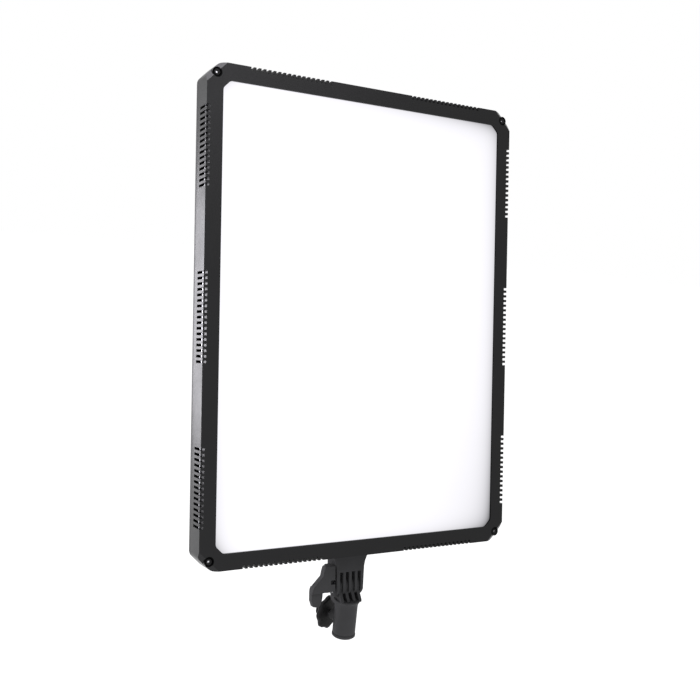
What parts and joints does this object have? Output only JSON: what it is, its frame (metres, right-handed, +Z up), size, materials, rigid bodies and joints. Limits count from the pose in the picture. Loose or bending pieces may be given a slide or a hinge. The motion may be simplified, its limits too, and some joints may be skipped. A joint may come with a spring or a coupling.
{
  "type": "led panel light",
  "caption": "Tall flat LED soft-light panel in a dark vented frame, on a tilting stand bracket with a locking lever and a clamping receiver for a light stand.",
  "frame": {"origin": "centre of the stand receiver's lower mouth, where the stand's stud enters", "axes": "+Z up along the stand, the panel shines towards -Y, +X to the right for someone facing the lit side"},
  "size_m": [0.426, 0.1239, 0.6826],
  "materials": {
    "casing_metal": "matt black powder coat",
    "cover_moulding": "fine-textured black moulding",
    "opal_sheet": "satin opal, lit from behind",
    "clear_acrylic": "polished clear",
    "white_film": "matt white film",
    "bare_aluminium": "mill finish",
    "circuit_board": "green solder mask",
    "wire_insulation": "satin insulation",
    "display_body": "matt black",
    "display_glass": "polished dark window",
    "bright_steel": "zinc-plated",
    "dial_rubber": "soft-touch black",
    "button_plastic": "satin black",
    "black_screws": "black oxide",
    "cast_metal": "black powder coat over a casting",
    "receiver_metal": "satin black paint over a turned and cast body",
    "lever_plastic": "fine-textured black, glass-filled nylon",
    "knob_plastic": "fine-textured black",
    "brass_pad": "turned"
  },
  "bodies": {
    "receiver": {"stand_receiver": "receiver_metal"},
    "clamp_slide": {"clamp_shoe": "brass_pad"},
    "clamp_screw": {"clamp_stud": "bright_steel", "clamp_knob": "knob_plastic", "knob_cap": "knob_plastic"},
    "head": {"front_frame": "casing_metal", "rear_cover": "cover_moulding", "control_housing": "cover_moulding", "switch_bezel": "cover_moulding", "diffuser": "opal_sheet", "light_guide": "clear_acrylic", "reflector_sheet": "white_film", "back_plate": "bare_aluminium", "led_bar_bottom": "circuit_board", "led_bar_top": "circuit_board", "led_bar_left": "circuit_board", "led_bar_right": "circuit_board", "power_board": "circuit_board", "control_board": "circuit_board", "inner_wiring": "wire_insulation", "display_module": "display_body", "display_window": "display_glass", "dimmer_encoder": "bright_steel", "colour_encoder": "bright_steel", "tilt_bolt": "bright_steel", "tilt_washer": "bright_steel", "power_inlet": "bright_steel", "data_in_socket": "bright_steel", "data_out_socket": "bright_steel", "corner_screw_1": "black_screws", "corner_screw_2": "black_screws", "corner_screw_3": "black_screws", "corner_screw_4": "black_screws", "cover_screw_1": "black_screws", "cover_screw_2": "black_screws", "cover_screw_3": "black_screws", "cover_screw_4": "black_screws", "cover_screw_5": "black_screws", "cover_screw_6": "black_screws", "cover_screw_7": "black_screws", "cover_screw_8": "black_screws", "housing_screw_1": "black_screws", "housing_screw_2": "black_screws", "housing_screw_3": "black_screws", "housing_screw_4": "black_screws", "bracket_screw_1": "black_screws", "bracket_screw_2": "black_screws", "bracket_screw_3": "black_screws", "bracket_screw_4": "black_screws", "neck_bracket": "cast_metal"},
    "lever": {"tilt_lever": "lever_plastic"},
    "dimmer": {"dimmer_dial": "dial_rubber"},
    "colour": {"colour_dial": "dial_rubber"},
    "mode_key": {"mode_button": "button_plastic"},
    "menu_key": {"menu_button": "button_plastic"},
    "enter_key": {"enter_button": "button_plastic"},
    "rocker": {"power_rocker": "button_plastic"}
  },
  "joints": [
    {"name": "tilt", "type": "hinge", "parent": "receiver", "child": "head", "pos_m": [0, 0.0068, 0.0655], "axis": [1, 0, 0], "range_deg": [-66, 84]},
    {"name": "lever_turn", "type": "hinge", "parent": "head", "child": "lever", "pos_m": [0, 0.0068, 0.0655], "axis": [-1, 0, 0], "range_deg": [0, 90]},
    {"name": "clamp_advance", "type": "slide", "parent": "receiver", "child": "clamp_slide", "axis": [0.4067, -0.9135, 0], "range_m": [0, 0.0025]},
    {"name": "clamp_turn", "type": "hinge", "parent": "clamp_slide", "child": "clamp_screw", "pos_m": [0, 0, 0.0219], "axis": [0.4067, -0.9135, 0], "range_deg": [0, 720]},
    {"name": "dimmer_turn", "type": "hinge", "parent": "head", "child": "dimmer", "pos_m": [-0.062, 0.05404, 0.24229], "axis": [0, 0.9877, -0.1564], "continuous": true},
    {"name": "colour_turn", "type": "hinge", "parent": "head", "child": "colour", "pos_m": [0.062, 0.05404, 0.24229], "axis": [0, 0.9877, -0.1564], "continuous": true},
    {"name": "mode_press", "type": "slide", "parent": "head", "child": "mode_key", "axis": [0, -0.9877, 0.1564], "range_m": [0, 0.0012], "stiffness_N_per_m": 400, "springref_m": -0.0008},
    {"name": "menu_press", "type": "slide", "parent": "head", "child": "menu_key", "axis": [0, -0.9877, 0.1564], "range_m": [0, 0.0012], "stiffness_N_per_m": 400, "springref_m": -0.0008},
    {"name": "enter_press", "type": "slide", "parent": "head", "child": "enter_key", "axis": [0, -0.9877, 0.1564], "range_m": [0, 0.0012], "stiffness_N_per_m": 400, "springref_m": -0.0008},
    {"name": "rocker_turn", "type": "hinge", "parent": "head", "child": "rocker", "pos_m": [0.062, 0.03936, 0.20715], "axis": [1, 0, 0], "range_deg": [-16, 0]}
  ],
  "couplings": [
    {"joint": "clamp_turn", "follows": "clamp_advance", "rad_per_m": 5026.5}
  ]
}
